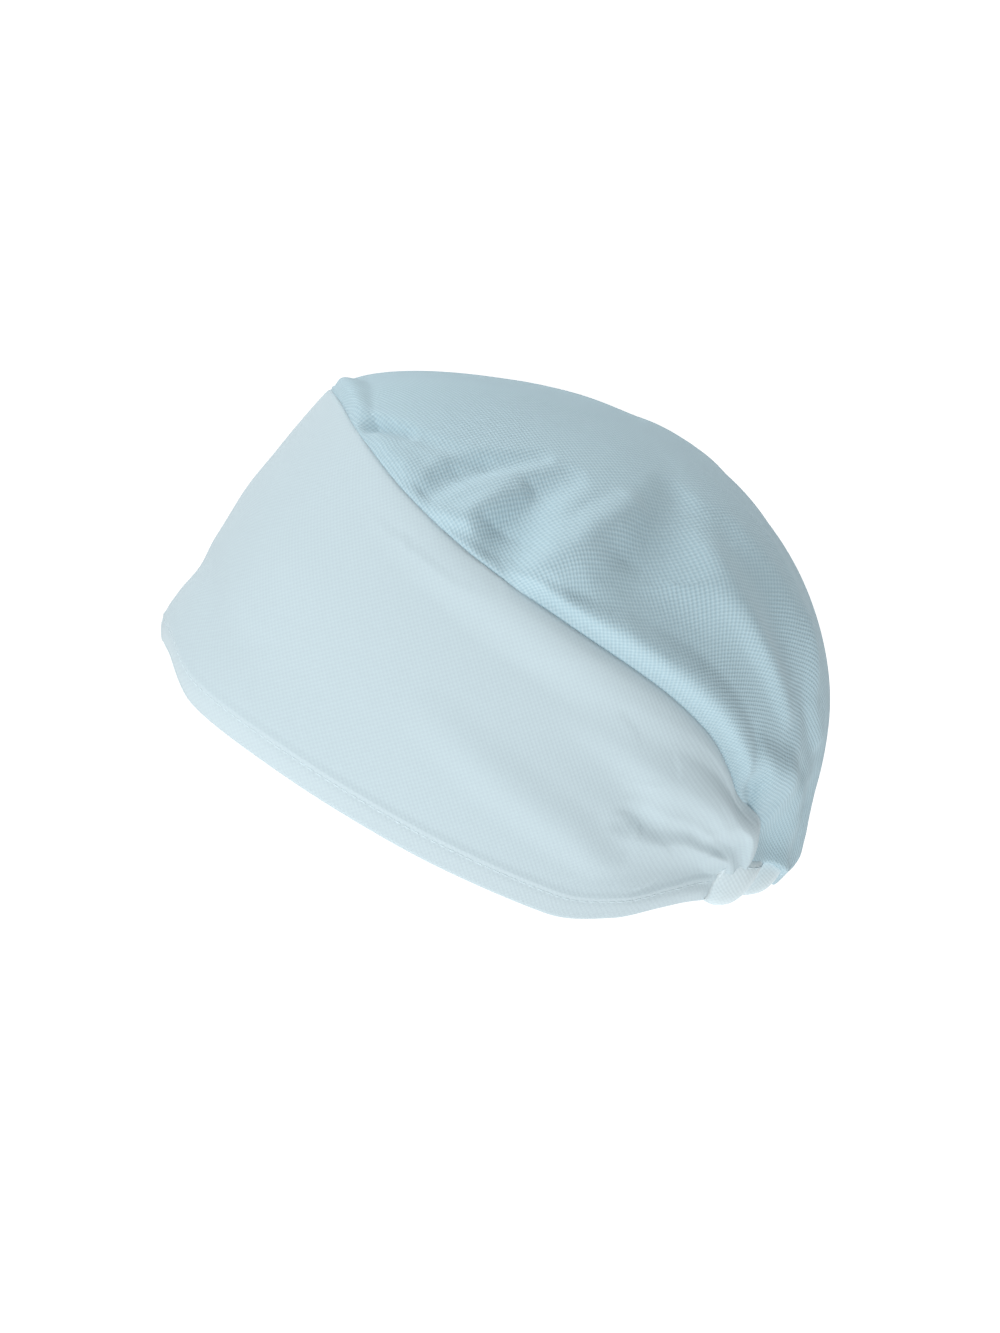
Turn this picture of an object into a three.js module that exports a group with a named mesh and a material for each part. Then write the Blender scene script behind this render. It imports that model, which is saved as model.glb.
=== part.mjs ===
// Elastic bandana cap: a soft head covering of one wide front band, a gathered crown panel and a
// short elastic casing at the nape, in the form that it takes when it is worn.
//
// Millimetres, +Z up. The wearer stands upright and faces -Y, so +X is the wearer's left. The cap is
// shaped level in its own frame, with the hem's loop round the Z axis, then tilted as it is worn.
// A bearing is an angle round that loop: 0 at the forehead, 90 over the left ear, 180 at the nape.
// A rise runs from 0 at a piece's lower edge to 1 at its upper edge, or at the crown's top.
import * as THREE from 'three';

// ---- Driving sizes --------------------------------------------------------------------------------
const HALF_LENGTH = 102;    // hem loop, centre to forehead, for a head of about 57 cm round
const HALF_BREADTH = 81;    // hem loop, centre to ear
const WORN_TILT = 27;       // degrees that the forehead's edge is lifted when worn
const CLOTH = 1.8;          // wall of the cloth
const HEM_HEIGHT = 8.5;     // turned-up strip along the band's lower edge
const HEM_EXTRA = 0.5;      // what the turned cloth adds to each face of the wall
const HEM_FLARE = { height: 32, depth: 3.6, bearing: 70 }; // the stiff hem stands off in front
const HEM_CURL = { height: 13, depth: 5 };                 // and its lower edge turns in again
const SEAM_GAP = 0.4;       // between the band's top edge and the crown's edge
const BAND_END = 135;       // bearing where the band gives way to the nape casing
const END_GAP = 0.35;       // degrees between the band's end and the casing
const DROP_FROM = 130;      // bearing where the seam starts down to the casing's upper edge
const CASING_HEIGHT = 12.5; // gathered tunnel with the elastic in it
const CASING_INSIDE = 1.6;  // from the casing's middle to its face on the neck
const CASING_OUTSIDE = 3.4; // from the casing's middle to its outer face, between puckers
const PUCKERS = 9;          // half rolls of cloth along each side of the casing
const PUCKER_LEAD = 3.2;    // degrees of the first one that the band's end covers
const PUCKER_DEPTH = 1.3;
const PUCKER_SLANT = 0.1;   // of a pucker's width, over the casing's height
const CROWN_TOP = { y: 2, z: 119.7 };
const SEAT_RISE = 0.33;     // where the top of the head touches the crown, on its front meridian

// The cap's sections. hem and seam are heights of the two edges; reach is the seam's distance from
// the axis as a share of the hem loop's; swell is how far the band bellies out between its edges;
// leave is the crown's slope at the seam, in degrees; up and over are how far the crown keeps that
// slope, and the level slope at its top, as shares of the distance between them.
const SECTIONS = [
  { bearing: 0, hem: -3, reach: 0.865, seam: 91, swell: 3.5, leave: 57, up: 0.2, over: 0.42 },
  { bearing: 20, hem: -8.8, reach: 0.885, seam: 88.5, swell: 4, leave: 57, up: 0.2, over: 0.42 },
  { bearing: 40, hem: -9.9, reach: 0.905, seam: 82.5, swell: 4, leave: 61, up: 0.24, over: 0.43 },
  { bearing: 60, hem: -11.7, reach: 0.93, seam: 76.5, swell: 3.6, leave: 69, up: 0.29, over: 0.46 },
  { bearing: 80, hem: -13.4, reach: 0.955, seam: 71.5, swell: 3.4, leave: 76, up: 0.33, over: 0.5 },
  { bearing: 100, hem: -13.9, reach: 0.98, seam: 65, swell: 3.6, leave: 81, up: 0.35, over: 0.53 },
  { bearing: 113, hem: -8.5, reach: 1, seam: 57, swell: 4, leave: 86, up: 0.4, over: 0.59 },
  { bearing: 122, hem: -1.5, reach: 1.005, seam: 47, swell: 3.2, leave: 88, up: 0.42, over: 0.62 },
  { bearing: 128, hem: 2.2, reach: 1.01, seam: 38, swell: 2.4, leave: 89, up: 0.42, over: 0.63 },
  { bearing: 135, hem: 4.6, reach: 1.02, seam: 30, swell: 1, leave: 90, up: 0.4, over: 0.63 },
  { bearing: 150, hem: 10.5, reach: 1.025, seam: 28.5, swell: 0, leave: 90, up: 0.3, over: 0.605 },
  { bearing: 180, hem: 14, reach: 1.01, seam: 29, swell: 0, leave: 88, up: 0.26, over: 0.605 },
];

// Folds of the wearer's left side, each along a path of [bearing, rise] places on the cloth. wide is
// half the fold's width there and high its height out of the cloth; a valley's is negative.
const CROWN_FOLDS = [
  {
    name: 'front roll',
    path: [[-22, 0.07], [0, 0.075], [9, 0.07]],
    wide: [12, 14, 9],
    high: [1, 1.7, 1.2],
  },
  {
    name: 'front pocket',
    path: [[17, 0.03], [18, 0.1], [25, 0.18]],
    wide: [7, 8, 7],
    high: [-2, -3.5, -1.5],
  },
  {
    name: 'temple valley',
    path: [[42, 0.07], [43, 0.23], [46, 0.34], [53, 0.49]],
    wide: [7, 10, 10, 8],
    high: [-1.8, -3.6, -2.8, -1],
  },
  {
    name: 'temple ridge',
    path: [[48, 0.03], [52, 0.09], [57, 0.33]],
    wide: [7, 8, 8],
    high: [2, 2.6, 1.2],
  },
  {
    name: 'ear valley',
    path: [[65, 0.03], [62, 0.07], [61, 0.16], [61, 0.37], [64, 0.475]],
    wide: [7, 12, 15, 14, 12],
    high: [-1, -4.5, -6.5, -4, -1.5],
  },
  {
    name: 'ear ridge',
    path: [[69, 0.02], [72, 0.11], [74, 0.2], [78, 0.35], [84, 0.52]],
    wide: [8, 11, 13, 13, 12],
    high: [3, 4.8, 4.8, 4, 2],
  },
  {
    name: 'seam roll',
    path: [[74, 0.05], [91, 0.075], [104, 0.07], [124, 0.055]],
    wide: [7, 10, 10, 8],
    high: [1.5, 4, 4, 3.4],
  },
  {
    name: 'great valley',
    path: [
      [98, 0.64], [93, 0.46], [90, 0.33], [90, 0.25],
      [98, 0.19], [108, 0.17], [120, 0.16], [133, 0.2],
    ],
    wide: [19, 23, 24, 22, 20, 17, 14, 10],
    high: [-2.5, -5.5, -6.5, -5.8, -4.4, -3.4, -2.8, -1.6],
  },
  {
    name: 'back ridge',
    path: [[106, 0.5], [111, 0.36], [120, 0.27], [131, 0.235]],
    wide: [10, 11, 10, 7],
    high: [0.4, 0.8, 1.8, 1.4],
  },
  {
    name: 'back valley',
    path: [[114, 0.6], [127, 0.42], [139, 0.32], [149, 0.22]],
    wide: [18, 20, 16, 10],
    high: [-2.5, -4.2, -4, -2.4],
  },
  {
    name: 'nape puff',
    path: [[128, 0.11], [136, 0.14], [144, 0.125]],
    wide: [7, 9, 7],
    high: [2.5, 3.2, 2.2],
  },
];
const BAND_FOLDS = [
  {
    name: 'upper swell',
    path: [[50, 0.95], [66, 0.93], [84, 0.92], [100, 0.9], [114, 0.86]],
    wide: [9, 12, 13, 13, 10],
    high: [0.6, 1.6, 2.4, 2.4, 1.8],
  },
  {
    name: 'lower swell',
    path: [[66, 0.46], [80, 0.4], [96, 0.34], [105, 0.28]],
    wide: [10, 11, 11, 8],
    high: [0.4, 1, 1.3, 1],
  },
  {
    name: 'corner swell',
    path: [[100, 0.74], [110, 0.72], [120, 0.74], [128, 0.8], [132, 0.9]],
    wide: [10, 12, 12, 10, 7],
    high: [1, 2.8, 3.2, 2.2, 0.5],
  },
  {
    name: 'elastic dent',
    path: [[105.5, 0.46], [107.5, 0.5], [112, 0.495], [118.7, 0.53], [123, 0.52], [127, 0.55], [131, 0.75]],
    wide: [7, 7, 7, 7, 7, 7, 7],
    high: [-1, -2.6, -2.2, -1.8, -1.8, -2.2, -1.2],
  },
  {
    name: 'end hollow',
    path: [[110, 0.3], [119, 0.3], [127, 0.32], [132, 0.42]],
    wide: [14, 20, 18, 12],
    high: [-0.8, -2.6, -3, -1.2],
  },
];
const RIGHT_SIDE_SHIFT = 4; // degrees by which the right side's folds fall nearer to the nape
const AROUND = 1.6;         // millimetres of cloth for a degree of bearing at a piece's lower edge
const CROWN_CLIMB = 135;    // millimetres of cloth for the crown's whole rise
const BAND_CLIMB = 80;      // and for the band's
const HELD = { share: 0.3, freeBy: 0.05 };               // what the seam leaves of the crown's folds
const PLEATS = { fullBy: 0.03, goneBy: 0.3, spread: 6 }; // small ones over the casing; spread in degrees
const BAND_CALM = { below: 0.12, above: 0.94, share: 0.3 }; // rises where the band's folds die out
const DROP_FADES_BY = 0.15; // rise where the crown no longer feels that its edge drops at the nape
const CASING_FULLNESS = { outside: 0.7, inside: 0.5 }; // powers that square the casing's section
const SLOPE_STEP = { bearing: 0.5, rise: 0.01, highest: 0.995 }; // for the direction out of a sheet

// How finely each stretch of the loop is divided, on either side.
const BAND_STRETCHES = [{ to: 100, steps: 22 }, { to: 128, steps: 8 }, { to: BAND_END, steps: 6 }];
const CORNER_STRETCH = { to: BAND_END + END_GAP, steps: 1 };
const NAPE_STRETCH = { to: 180, steps: 18 };
const CROWN_RINGS = 16;
const CROWN_CROWDING = 1.35; // draws the rings towards the seam, where the folds are
const HEM_ROWS = [0, 0.35, 0.92]; // shares of the hem strip
const HEM_STEP = 1.12;       // share of the strip where the wall is back to one cloth
const EDGE_ROUNDING = 0.55;  // of the wall, at the hem's folded edge
const BAND_ROWS = 9;         // above the hem strip
const CASING_STEPS = 8;      // for each pucker
const CASING_SIDES = 10;

const radians = THREE.MathUtils.degToRad;
const UP = new THREE.Vector3(0, 0, 1);

// ---- Curves through the tables --------------------------------------------------------------------
// A smooth curve through one column of the sections, without overshoot and level at both ends.
function section(column, bearing) {
  const at = Math.abs(wrapped(bearing));
  const rows = SECTIONS;
  let i = rows.length - 2;
  while (i > 0 && at < rows[i].bearing) i -= 1;
  const slope = (k) => (rows[k + 1][column] - rows[k][column]) / (rows[k + 1].bearing - rows[k].bearing);
  const tangent = (k) => {
    if (k === 0 || k === rows.length - 1) return 0;
    const [before, after] = [slope(k - 1), slope(k)];
    return before * after > 0 ? (2 * before * after) / (before + after) : 0;
  };
  const span = rows[i + 1].bearing - rows[i].bearing;
  const t = (at - rows[i].bearing) / span;
  const s = 1 - t;
  return rows[i][column] * (1 + 2 * t) * s * s + tangent(i) * span * t * s * s
    + rows[i + 1][column] * (1 + 2 * s) * t * t - tangent(i + 1) * span * s * t * t;
}

function wrapped(bearing) {
  return ((((bearing + 180) % 360) + 360) % 360) - 180;
}

function smooth(t) {
  const c = THREE.MathUtils.clamp(t, 0, 1);
  return c * c * (3 - 2 * c);
}

// The point at a bearing on the hem loop, scaled by its reach, at height z.
function onLoop(bearing, reach, z) {
  const a = radians(bearing);
  return new THREE.Vector3(HALF_BREADTH * reach * Math.sin(a), -HALF_LENGTH * reach * Math.cos(a), z);
}

function outward(bearing) {
  const a = radians(bearing);
  return new THREE.Vector3(Math.sin(a) / HALF_BREADTH, -Math.cos(a) / HALF_LENGTH, 0).normalize();
}

function hemPoint(bearing) {
  return onLoop(bearing, 1, section('hem', bearing));
}

function seamPoint(bearing, gap) {
  return onLoop(bearing, section('reach', bearing), section('seam', bearing) + gap);
}

// Towards the band's end the seam comes down to the top of the casing, and stays there.
function seamDrop(bearing) {
  const share = (Math.abs(wrapped(bearing)) - DROP_FROM) / (BAND_END + END_GAP - DROP_FROM);
  const casingTop = section('hem', bearing) + CASING_HEIGHT;
  return (section('seam', bearing) - SEAM_GAP / 2 - casingTop) * smooth(share);
}

function bandTall(bearing) {
  return section('seam', bearing) - seamDrop(bearing) - section('hem', bearing);
}

// ---- The two sheets, before folds -----------------------------------------------------------------
function bandPoint(bearing, rise) {
  const belly = section('swell', bearing) * 4 * rise * (1 - rise);
  return hemPoint(bearing).lerp(seamPoint(bearing, -SEAM_GAP / 2 - seamDrop(bearing)), rise)
    .addScaledVector(outward(bearing), belly + hemFlare(bearing, rise));
}

function hemFlare(bearing, rise) {
  const up = rise * bandTall(bearing);
  const inFront = 1 - smooth(Math.abs(wrapped(bearing)) / HEM_FLARE.bearing);
  const curl = HEM_CURL.depth * Math.max(1 - up / HEM_CURL.height, 0) ** 2;
  return (HEM_FLARE.depth * smooth(1 - up / HEM_FLARE.height) - curl) * inFront;
}

function crownPoint(bearing, rise) {
  const edge = seamPoint(bearing, SEAM_GAP / 2);
  const top = new THREE.Vector3(0, CROWN_TOP.y, CROWN_TOP.z);
  const far = edge.distanceTo(top);
  const inward = new THREE.Vector3(top.x - edge.x, top.y - edge.y, 0).normalize();
  const leave = radians(section('leave', bearing));
  const leaving = inward.clone().multiplyScalar(Math.cos(leave)).addScaledVector(UP, Math.sin(leave));
  const meridian = new THREE.CubicBezierCurve3(
    edge,
    edge.clone().addScaledVector(leaving, far * section('up', bearing)),
    top.clone().addScaledVector(inward, -far * section('over', bearing)),
    top,
  );
  const dropped = seamDrop(bearing) * (1 - smooth(rise / DROP_FADES_BY));
  return meridian.getPoint(rise).addScaledVector(UP, -dropped);
}

// ---- Folds ----------------------------------------------------------------------------------------
// How far a table's folds lift the cloth at a place. Distances are taken on the cloth, which narrows
// towards the crown's top.
function foldHeight(folds, bearing, rise, climb) {
  const at = wrapped(bearing);
  const side = at >= 0 ? at : -at - RIGHT_SIDE_SHIFT;
  let height = 0;
  for (const fold of folds) {
    const middleRise = fold.path.reduce((sum, place) => sum + place[1], 0) / fold.path.length;
    const around = AROUND * (1 - middleRise ** 2);
    const place = ([b, r]) => new THREE.Vector2(b * around, r * climb);
    const here = place([side, rise]);
    let nearest = 1;
    let high = 0;
    for (let k = 0; k + 1 < fold.path.length; k += 1) {
      const start = place(fold.path[k]);
      const run = place(fold.path[k + 1]).sub(start);
      const share = THREE.MathUtils.clamp(here.clone().sub(start).dot(run) / run.lengthSq(), 0, 1);
      const wide = THREE.MathUtils.lerp(fold.wide[k], fold.wide[k + 1], share);
      const away = here.distanceTo(start.addScaledVector(run, share)) / wide;
      if (away < nearest) {
        nearest = away;
        high = THREE.MathUtils.lerp(fold.high[k], fold.high[k + 1], share);
      }
    }
    height += high * Math.cos(nearest * (Math.PI / 2)) ** 2;
  }
  return height;
}

// Crown folds, held back at the seam, and the small pleats that the elastic draws up at the nape.
function crownHeight(bearing, rise) {
  const free = HELD.share + (1 - HELD.share) * smooth(rise / HELD.freeBy);
  const past = Math.abs(wrapped(bearing)) - BAND_END;
  const started = smooth(past / PLEATS.spread) * smooth(rise / PLEATS.fullBy);
  const gathered = started * (1 - smooth(rise / PLEATS.goneBy));
  return foldHeight(CROWN_FOLDS, bearing, rise, CROWN_CLIMB) * free
    + PUCKER_DEPTH * Math.cos(puckerPhase(bearing)) * gathered;
}

function bandHeight(bearing, rise) {
  const atSeam = smooth((rise - BAND_CALM.above) / (1 - BAND_CALM.above));
  return foldHeight(BAND_FOLDS, bearing, rise, BAND_CLIMB) * smooth(rise / BAND_CALM.below)
    * (1 - (1 - BAND_CALM.share) * atSeam);
}

function puckerPhase(bearing) {
  const past = Math.abs(wrapped(bearing)) - BAND_END + PUCKER_LEAD;
  return ((past / (180 - BAND_END + PUCKER_LEAD)) * PUCKERS + 1) * Math.PI;
}

// The direction across a sheet at a place, pointing out of the cap.
function across(sheet, bearing, rise) {
  const low = Math.max(rise - SLOPE_STEP.rise, 0);
  const high = Math.min(rise + SLOPE_STEP.rise, SLOPE_STEP.highest);
  const ahead = sheet(bearing + SLOPE_STEP.bearing, rise);
  const round = ahead.sub(sheet(bearing - SLOPE_STEP.bearing, rise));
  const climb = sheet(bearing, high).sub(sheet(bearing, low));
  return round.cross(climb).normalize();
}

// ---- Solids ---------------------------------------------------------------------------------------
// Closed faces over a grid of points: rows of equal length, joined end to end where looped.
function skin(rows, looped, flipped, positions) {
  const put = (a, b, c) => positions.push(...(flipped ? [a, c, b] : [a, b, c]));
  const last = looped ? rows.length : rows.length - 1;
  for (let i = 0; i < last; i += 1) {
    const here = rows[i];
    const next = rows[(i + 1) % rows.length];
    for (let j = 0; j + 1 < here.length; j += 1) {
      put(here[j], next[j], next[j + 1]);
      put(here[j], next[j + 1], here[j + 1]);
    }
  }
}

function solid(name, positions, material) {
  const geometry = new THREE.BufferGeometry();
  const flat = positions.flatMap((p) => [p.x, p.y, p.z]);
  geometry.setAttribute('position', new THREE.Float32BufferAttribute(flat, 3));
  geometry.computeVertexNormals();
  const mesh = new THREE.Mesh(geometry, material);
  mesh.name = name;
  return mesh;
}

// Bearings of one side's stretches, mirrored to the other side when both are asked for.
function bearings(stretches) {
  const side = [0];
  for (const { to, steps } of stretches) {
    const from = side[side.length - 1];
    for (let i = 1; i <= steps; i += 1) side.push(from + ((to - from) * i) / steps);
  }
  return side;
}

function bothSides(side) {
  return [...side.slice(1).reverse().map((b) => -b), ...side];
}

// The band: a sheet with its turned hem, closed all round its four edges.
function frontBand() {
  const rows = bothSides(bearings(BAND_STRETCHES)).map((bearing) => {
    const strip = HEM_HEIGHT / bandTall(bearing);
    const rises = HEM_ROWS.map((share) => share * strip);
    for (let j = 0; j <= BAND_ROWS; j += 1) {
      rises.push(THREE.MathUtils.lerp(HEM_STEP * strip, 1, j / BAND_ROWS));
    }
    const outer = [];
    const inner = [];
    rises.forEach((rise, j) => {
      const turned = j < HEM_ROWS.length ? HEM_EXTRA : 0;
      const rounded = j === 0 ? EDGE_ROUNDING : 1;
      const half = (CLOTH / 2 + turned) * rounded;
      const atSeam = j === rises.length - 1 || Math.abs(bearing) === BAND_END;
      const direction = atSeam ? outward(bearing) : across(bandPoint, bearing, rise);
      const middle = bandPoint(bearing, rise).addScaledVector(direction, bandHeight(bearing, rise));
      outer.push(middle.clone().addScaledVector(direction, half));
      inner.push(middle.clone().addScaledVector(direction, -half));
    });
    return [...outer, ...inner.reverse(), outer[0]];
  });
  const positions = [];
  skin(rows, false, false, positions);
  endCap(rows[0], false, positions);
  endCap(rows[rows.length - 1], true, positions);
  return positions;
}

// Closes the end of a walled section, whose points go up its outer face and down its inner one.
function endCap(loop, flipped, positions) {
  const half = (loop.length - 1) / 2;
  const outer = loop.slice(0, half);
  const inner = loop.slice(half, 2 * half).reverse();
  skin([inner, outer], false, flipped, positions);
}

// The crown: a dome of cloth on a seam, open below.
function crown() {
  const side = bearings([...BAND_STRETCHES, CORNER_STRETCH, NAPE_STRETCH]);
  const round = [...side, ...side.slice(1, -1).reverse().map((b) => -b)];
  const top = crownPoint(0, 1);
  const rings = (offset) => round.map((bearing) => {
    const points = [];
    for (let j = 0; j < CROWN_RINGS; j += 1) {
      const rise = (j / CROWN_RINGS) ** CROWN_CROWDING;
      const direction = j === 0 ? outward(bearing) : across(crownPoint, bearing, rise);
      const height = crownHeight(bearing, rise) + offset;
      points.push(crownPoint(bearing, rise).addScaledVector(direction, height));
    }
    points.push(top.clone().addScaledVector(UP, offset));
    return points;
  });
  const outer = rings(CLOTH / 2);
  const inner = rings(-CLOTH / 2);
  const positions = [];
  dome(outer, false, positions);
  dome(inner, true, positions);
  skin(outer.map((row, i) => [inner[i][0], row[0]]), true, false, positions);
  return positions;
}

// A looped skin whose rows all end in one point.
function dome(rows, flipped, positions) {
  skin(rows.map((row) => row.slice(0, -1)), true, flipped, positions);
  rows.forEach((row, i) => {
    const next = rows[(i + 1) % rows.length];
    const [a, b] = [row[row.length - 2], next[next.length - 2]];
    const apex = row[row.length - 1];
    positions.push(...(flipped ? [a, apex, b] : [a, b, apex]));
  });
}

// The nape casing: a flat tube, drawn into puckers by the elastic inside it.
function napeCasing() {
  const from = BAND_END + END_GAP;
  const span = 360 - 2 * from;
  const steps = PUCKERS * CASING_STEPS;
  const rows = [];
  for (let i = 0; i <= steps; i += 1) {
    const bearing = from + (span * i) / steps;
    const middle = onLoop(bearing, section('reach', bearing), section('hem', bearing) + CASING_HEIGHT / 2);
    const loop = [];
    for (let k = 0; k <= CASING_SIDES; k += 1) {
      const turn = ((k % CASING_SIDES) / CASING_SIDES) * 2 * Math.PI;
      const level = Math.sin(turn);
      const slanted = puckerPhase(bearing) - level * PUCKER_SLANT * Math.PI;
      const proud = CASING_OUTSIDE + PUCKER_DEPTH * Math.cos(slanted);
      const bulge = Math.abs(Math.cos(turn));
      const outside = proud * bulge ** CASING_FULLNESS.outside;
      const inside = -CASING_INSIDE * bulge ** CASING_FULLNESS.inside;
      const out = Math.cos(turn) > 0 ? outside : inside;
      loop.push(middle.clone().addScaledVector(outward(bearing), out)
        .addScaledVector(UP, (level * CASING_HEIGHT) / 2));
    }
    rows.push(loop);
  }
  const positions = [];
  skin(rows, false, false, positions);
  fan(rows[0], false, positions);
  fan(rows[rows.length - 1], true, positions);
  return positions;
}

function fan(loop, flipped, positions) {
  for (let k = 1; k + 2 < loop.length; k += 1) {
    positions.push(loop[0], ...(flipped ? [loop[k + 1], loop[k]] : [loop[k], loop[k + 1]]));
  }
}

// ---- Assembly -------------------------------------------------------------------------------------
const bandCloth = new THREE.MeshStandardMaterial({ color: 0xc8dbe2, roughness: 0.9, metalness: 0 });
const crownCloth = new THREE.MeshStandardMaterial({ color: 0xaecbd5, roughness: 0.9, metalness: 0 });
const casingCloth = new THREE.MeshStandardMaterial({ color: 0xc6d8df, roughness: 0.9, metalness: 0 });

const worn = new THREE.Group();
worn.add(
  solid('front_band', frontBand(), bandCloth),
  solid('crown', crown(), crownCloth),
  solid('nape_casing', napeCasing(), casingCloth),
);

// The origin is where the top of the head touches the inside of the crown.
const seat = crownPoint(0, SEAT_RISE).addScaledVector(across(crownPoint, 0, SEAT_RISE), -CLOTH / 2);
const tilt = new THREE.Quaternion().setFromAxisAngle(new THREE.Vector3(1, 0, 0), -radians(WORN_TILT));
worn.quaternion.copy(tilt);
worn.position.copy(seat.applyQuaternion(tilt).negate());

const cap = new THREE.Group();
cap.add(worn);
export default cap;
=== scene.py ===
import math

import bpy
import numpy as np
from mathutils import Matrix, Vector


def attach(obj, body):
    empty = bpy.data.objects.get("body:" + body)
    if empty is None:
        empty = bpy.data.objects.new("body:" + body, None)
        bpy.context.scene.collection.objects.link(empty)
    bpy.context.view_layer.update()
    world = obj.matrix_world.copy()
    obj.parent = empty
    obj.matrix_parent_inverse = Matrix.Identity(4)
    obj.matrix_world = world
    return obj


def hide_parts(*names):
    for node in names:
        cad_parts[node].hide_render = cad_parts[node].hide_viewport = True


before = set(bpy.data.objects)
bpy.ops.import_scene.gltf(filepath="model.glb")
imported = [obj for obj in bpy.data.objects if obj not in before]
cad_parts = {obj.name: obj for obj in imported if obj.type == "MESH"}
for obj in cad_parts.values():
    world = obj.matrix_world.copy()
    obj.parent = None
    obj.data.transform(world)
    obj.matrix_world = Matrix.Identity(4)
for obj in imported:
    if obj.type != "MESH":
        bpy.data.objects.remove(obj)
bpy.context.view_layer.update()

MM = 0.001


# ---- Front band ---------------------------------------------------------------------------------
# A wide strip of waffle piqué, cut on the bias, over the forehead and both ears. It tapers to the
# nape, where the elastic casing takes over. Its lower edge is turned up twice and stitched down.

# Where nothing else is said, lengths are in millimetres and bearings in degrees from the forehead.
# A rise is a share of the way up a piece.
HALF_LENGTH = 102  # hem loop, centre to forehead
HALF_BREADTH = 81  # hem loop, centre to ear
WORN_TILT = 27  # degrees that the forehead's edge is lifted
BAND_END = 135  # bearing where the band meets the casing; 0 is the forehead, 180 the nape
CLOTH = 1.3  # wall of the cloth, with the seam allowance behind it
HEM_HEIGHT = 8.5  # of the turned strip
HEM_EXTRA = 0.45  # what the turned cloth adds to each face
HEM_STEP = 1.6  # length over which the turned cloth dies out
HEM_ROUND = 1.3  # length over which the folded edge rounds off
HEM_LINE = 0.4  # half the width of the line between doubled and single cloth
SEAM_DIP = 0.64  # how far the sewn edges roll inwards
SEAM_ROLL = 2  # length of cloth that rolls in at the seam
BAND_CLIMB = 80  # cloth from the hem to the seam, for the folds' distances
AROUND = 1.6  # cloth for a degree of bearing at a lower edge
RIGHT_SIDE_SHIFT = 4  # degrees by which the right side's folds fall nearer to the nape
FOLD_ENDS = dict(full_by=0.12, fade_from=0.95, lost=0.5)  # rises, and what the seam takes

BAND_SECTIONS = [
    # bearing, height of hem, reach of seam, height of seam, swell outwards
    dict(bearing=0, hem=-3, reach=0.865, seam=91, swell=3.5),
    dict(bearing=20, hem=-8.8, reach=0.885, seam=88.5, swell=4),
    dict(bearing=40, hem=-9.9, reach=0.905, seam=82.5, swell=4),
    dict(bearing=60, hem=-11.7, reach=0.93, seam=76.5, swell=3.6),
    dict(bearing=80, hem=-13.4, reach=0.955, seam=71.5, swell=3.4),
    dict(bearing=100, hem=-13.9, reach=0.98, seam=65, swell=3.6),
    dict(bearing=113, hem=-8.5, reach=1, seam=57, swell=4),
    dict(bearing=122, hem=-1.5, reach=1.005, seam=47, swell=3.2),
    dict(bearing=128, hem=2.2, reach=1.01, seam=38, swell=2.4),
    dict(bearing=135, hem=4.6, reach=1.02, seam=30, swell=1),
    dict(bearing=150, hem=10.5, reach=1.025, seam=28.5, swell=0),
    dict(bearing=180, hem=14, reach=1.01, seam=29, swell=0),
]
BAND_FOLDS = [
    # path lists (bearing, rise) places; wide is half the fold's width and high its height out of
    # the cloth there
    dict(
        name="brow crease",
        path=[(-34, 0.34), (0, 0.3), (24, 0.27)],
        wide=[8, 9, 8],
        high=[-0.5, -1, -0.4],
    ),
    dict(
        name="forehead swell",
        path=[(-30, 0.62), (0, 0.6), (30, 0.58)],
        wide=[12, 14, 12],
        high=[0.3, 0.7, 0.3],
    ),
    dict(
        name="upper swell",
        path=[(50, 0.95), (66, 0.93), (84, 0.92), (100, 0.9), (114, 0.86)],
        wide=[9, 12, 13, 13, 10],
        high=[0.6, 1.6, 2.2, 1.7, 1],
    ),
    dict(
        name="side hollow",
        path=[(84, 0.62), (98, 0.6), (106, 0.56)],
        wide=[12, 12, 8],
        high=[-0.2, -0.6, -0.6],
    ),
    dict(
        name="lower swell",
        path=[(66, 0.46), (80, 0.4), (96, 0.34), (105, 0.28)],
        wide=[10, 11, 11, 8],
        high=[0.4, 1, 1.3, 1],
    ),
    dict(
        name="corner swell",
        path=[(100, 0.74), (110, 0.72), (120, 0.74), (128, 0.8), (132, 0.9)],
        wide=[10, 12, 12, 10, 6],
        high=[0.8, 2.1, 2.6, 2.5, 1.7],
    ),
    dict(
        name="elastic dent",
        path=[
            (105.5, 0.46),
            (107.5, 0.5),
            (112, 0.495),
            (118.7, 0.53),
            (123, 0.52),
            (127, 0.55),
            (131, 0.75),
        ],
        wide=[5, 7, 7, 6, 6, 6, 5],
        high=[-0.9, -2.4, -1.9, -1.5, -1.6, -1.9, -1.3],
    ),
    dict(
        name="end hollow",
        path=[(110, 0.3), (119, 0.3), (127, 0.32), (132, 0.42)],
        wide=[14, 20, 18, 12],
        high=[-0.8, -2.6, -3, -1.6],
    ),
    dict(
        name="corner edge",
        path=[(113, 0.93), (122, 0.9), (128, 0.88)],
        wide=[8, 8, 8],
        high=[-0.2, -0.4, -0.3],
    ),
]


def wrapped(bearing):
    return (np.asarray(bearing, float) + 180) % 360 - 180


def smooth(t):
    t = np.clip(t, 0, 1)
    return t * t * (3 - 2 * t)


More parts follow.
